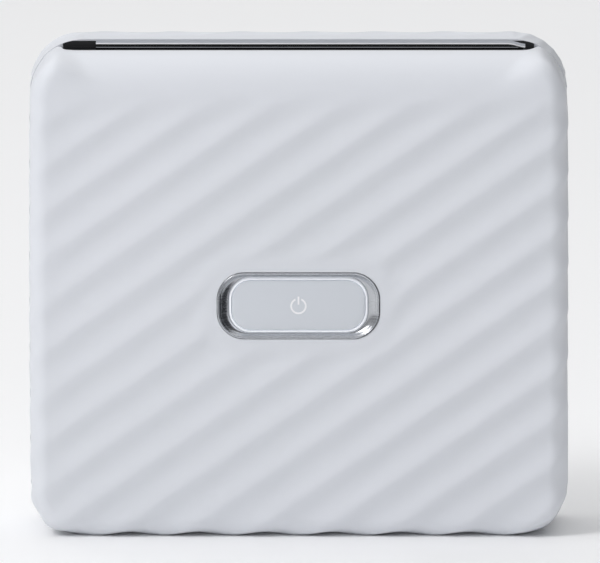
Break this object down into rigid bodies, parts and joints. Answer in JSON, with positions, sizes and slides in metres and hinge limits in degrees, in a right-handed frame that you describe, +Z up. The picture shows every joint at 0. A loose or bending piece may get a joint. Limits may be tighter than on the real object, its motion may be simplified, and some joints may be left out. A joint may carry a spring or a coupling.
{
  "type": "instant photo printer",
  "caption": "Portable instant photo printer with a ribbed rounded slab housing, an exit slot along the top, an oblong power button and a film door at the back.",
  "frame": {"origin": "centre of the base on the surface it stands on", "axes": "+X to the right seen from the front, +Y from the front to the back, +Z up; the button faces -Y"},
  "size_m": [0.139, 0.0338, 0.1275],
  "materials": {
    "shell": "fine matte, moulded-in very pale grey",
    "door_shell": "fine matte, moulded-in very pale grey",
    "bezel_metal": "satin, turned dish",
    "button_cap": "satin pale grey",
    "white_print": "pad print",
    "light_guide": "milky translucent",
    "silicone": "milky silicone",
    "pcb_green": "solder mask on glass epoxy",
    "pcb_black": "black solder mask",
    "slot_grey": "satin dark grey",
    "felt": "black pile",
    "flap_rubber": "matte elastomer",
    "plated_steel": "tin plated",
    "black_plastic": "matte black",
    "spring_steel": "drawn wire",
    "rubber_black": "ground rubber",
    "screw_steel": "zinc plated",
    "pack_black": "moulded black",
    "film_white": "coated film sheets",
    "acetal": "natural acetal",
    "motor_steel": "plated can",
    "lens_glass": "graded-index rod lens",
    "chip_black": "epoxy moulding",
    "cell_foil": "pouch foil",
    "lead_red": "wire insulation",
    "flex_amber": "polyimide",
    "window_smoke": "dark red transparent",
    "foam": "black foam",
    "latch_grey": "matte grey"
  },
  "bodies": {
    "housing": {"front_cover": "shell", "rear_cover": "shell", "housing_screws": "screw_steel", "button_bezel": "bezel_metal", "button_light_ring": "light_guide", "button_dome": "silicone", "button_board": "pcb_black", "button_board_screws": "screw_steel", "exit_slot_trim": "slot_grey", "exit_light_shield": "felt", "usb_socket": "plated_steel", "reset_switch": "chip_black", "chassis": "black_plastic", "chassis_screws": "screw_steel", "film_pack_case": "pack_black", "film_stack": "film_white", "pack_spring_plate": "spring_steel", "roller_bracket": "plated_steel", "idler_axle": "screw_steel", "motor": "motor_steel", "gearbox_plate": "plated_steel", "roller_springs": "spring_steel", "claw_spring": "spring_steel", "print_head_housing": "black_plastic", "print_head_lens": "lens_glass", "print_head_board": "pcb_green", "main_board": "pcb_green", "board_screws": "screw_steel", "main_chips": "chip_black", "shield_can": "plated_steel", "battery": "cell_foil", "battery_tray": "black_plastic", "battery_leads": "lead_red", "button_flex": "flex_amber", "head_flex": "flex_amber", "door_light_seal": "foam"},
    "button": {"power_button": "button_cap", "power_mark": "white_print"},
    "usb_flap": {"usb_cover": "flap_rubber"},
    "reset": {"reset_button": "black_plastic"},
    "drive": {"drive_roller": "rubber_black", "drive_roller_gear": "acetal"},
    "press": {"pressure_roller": "rubber_black"},
    "idler": {"idler_gear": "acetal"},
    "pinion": {"motor_pinion": "acetal"},
    "claw": {"film_claw": "spring_steel", "film_next_sheet": "film_white"},
    "door": {"film_door": "door_shell", "door_hinge_pins": "screw_steel", "film_window": "window_smoke", "film_door_liner": "black_plastic", "door_pressure_springs": "spring_steel", "latch_spring": "spring_steel"},
    "latch": {"door_latch": "latch_grey", "latch_tongue": "black_plastic"}
  },
  "joints": [
    {"name": "power_button_press", "type": "slide", "parent": "housing", "child": "button", "axis": [0, 1, 0], "range_m": [0, 0.0008], "stiffness_N_per_m": 1500, "springref_m": -0.0005, "deforming": ["button_dome"]},
    {"name": "film_door_hinge", "type": "hinge", "parent": "housing", "child": "door", "pos_m": [0, 0.0144, 0.008], "axis": [-1, 0, 0], "range_deg": [0, 90], "deforming": ["latch_tongue"]},
    {"name": "door_latch_slide", "type": "slide", "parent": "door", "child": "latch", "axis": [0, 0, -1], "range_m": [0, 0.003], "stiffness_N_per_m": 300, "springref_m": -0.002, "deforming": ["latch_spring"]},
    {"name": "usb_flap_hinge", "type": "hinge", "parent": "housing", "child": "usb_flap", "pos_m": [0.0687, -0.0047, 0.024], "axis": [0, 0, 1], "range_deg": [0, 95]},
    {"name": "reset_press", "type": "slide", "parent": "housing", "child": "reset", "axis": [-1, 0, 0], "range_m": [0, 0.0004], "stiffness_N_per_m": 800, "springref_m": -0.0005},
    {"name": "drive_roller_spin", "type": "hinge", "parent": "housing", "child": "drive", "pos_m": [0.0028, 0.00405, 0.1115], "axis": [1, 0, 0], "continuous": true},
    {"name": "pressure_roller_spin", "type": "hinge", "parent": "housing", "child": "press", "pos_m": [0.0028, -0.00565, 0.1115], "axis": [1, 0, 0], "continuous": true},
    {"name": "idler_gear_spin", "type": "hinge", "parent": "housing", "child": "idler", "pos_m": [-0.061, -0.00032, 0.09963], "axis": [1, 0, 0], "continuous": true},
    {"name": "motor_pinion_spin", "type": "hinge", "parent": "housing", "child": "pinion", "pos_m": [-0.061, -0.0092, 0.089], "axis": [1, 0, 0], "continuous": true},
    {"name": "film_claw_slide", "type": "slide", "parent": "housing", "child": "claw", "axis": [0, 0, 1], "range_m": [0, 0.008], "stiffness_N_per_m": 30, "springref_m": -0.003}
  ],
  "couplings": [
    {"joint": "pressure_roller_spin", "follows": "drive_roller_spin", "ratio": -1},
    {"joint": "idler_gear_spin", "follows": "drive_roller_spin", "ratio": -2.5},
    {"joint": "motor_pinion_spin", "follows": "drive_roller_spin", "ratio": 9}
  ]
}
